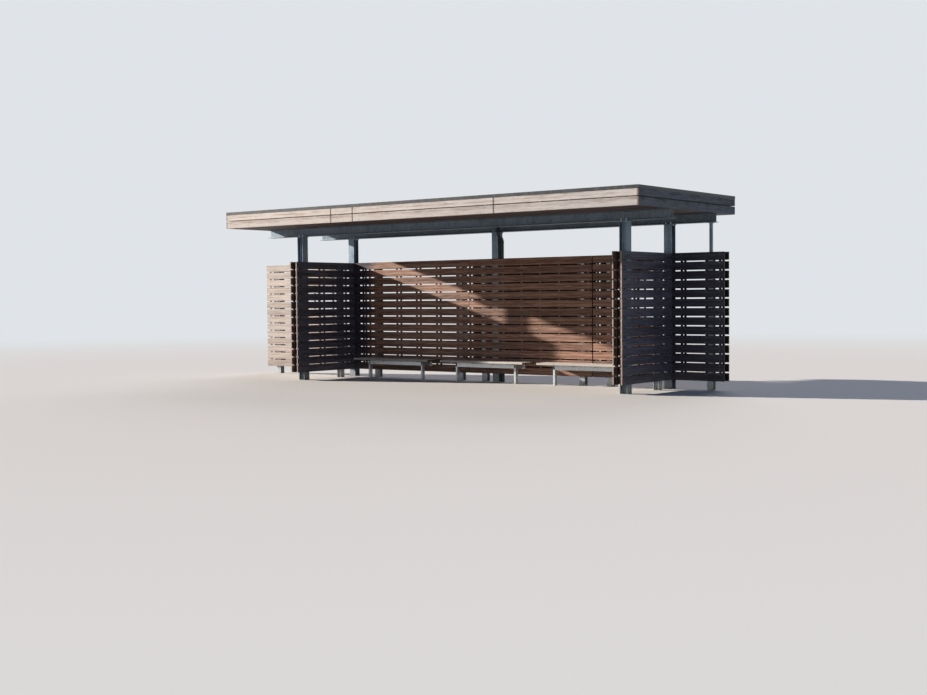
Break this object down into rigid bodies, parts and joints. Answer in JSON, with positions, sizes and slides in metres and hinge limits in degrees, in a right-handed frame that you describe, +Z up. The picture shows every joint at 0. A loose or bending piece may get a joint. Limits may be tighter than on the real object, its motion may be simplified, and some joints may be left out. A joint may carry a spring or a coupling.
{
  "type": "bus shelter",
  "caption": "Open waiting shelter with a flat roof on steel beams and posts, double-skin slatted timber back and wing walls and slatted benches.",
  "frame": {"origin": "centre of the plan box at ground level", "axes": "+X along the shelter to the right as seen from the open side, +Y towards the back wall, +Z up"},
  "size_m": [11.86, 3.521, 3.569],
  "materials": {
    "frame_steel": "weathered hot-dip galvanised steel, dull grey-green",
    "galvanised_steel": "hot-dip galvanised steel, matt light grey",
    "wall_boards": "oiled hardwood boards, dark red-brown",
    "soffit_boards": "oiled hardwood boarding",
    "fascia_boards": "sun-bleached hardwood, pinkish grey-brown",
    "roof_timber": "sawn softwood",
    "roof_covering": "plywood deck with dark grey roofing felt",
    "edge_trim": "dark grey coated sheet metal",
    "downpipe": "dark grey coated pipe",
    "bench_slats": "weathered timber slats"
  },
  "bodies": {
    "root": {"front_beam": "frame_steel", "rear_beam": "frame_steel", "front_post_left": "frame_steel", "front_post_right": "frame_steel", "rear_post_left": "frame_steel", "rear_post_middle": "frame_steel", "rear_post_right": "frame_steel", "wall_post_1": "galvanised_steel", "wall_post_2": "galvanised_steel", "wall_post_3": "galvanised_steel", "wall_post_4": "galvanised_steel", "wall_post_5": "galvanised_steel", "wall_post_6": "galvanised_steel", "wall_post_7": "galvanised_steel", "wing_post_left": "galvanised_steel", "wing_post_right": "galvanised_steel", "side_tube": "frame_steel", "back_wall_front_1": "wall_boards", "back_wall_front_2": "wall_boards", "back_wall_front_3": "wall_boards", "back_wall_front_4": "wall_boards", "back_wall_rear_1": "wall_boards", "back_wall_rear_2": "wall_boards", "back_wall_rear_3": "wall_boards", "back_wall_rear_4": "wall_boards", "left_wing_outer": "wall_boards", "left_wing_inner": "wall_boards", "right_wing_outer": "wall_boards", "right_wing_inner": "wall_boards", "soffit": "soffit_boards", "roof_frame": "roof_timber", "roof_deck": "roof_covering", "fascia_front": "fascia_boards", "fascia_back": "fascia_boards", "fascia_left": "fascia_boards", "fascia_right": "fascia_boards", "trim_front": "edge_trim", "trim_back": "edge_trim", "trim_left": "edge_trim", "trim_right": "edge_trim", "downpipe": "downpipe", "bench_frame_left": "galvanised_steel", "bench_seat_left": "bench_slats", "bench_frame_middle": "galvanised_steel", "bench_seat_middle": "bench_slats", "bench_frame_right": "galvanised_steel", "bench_seat_right": "bench_slats"}
  },
  "joints": []
}
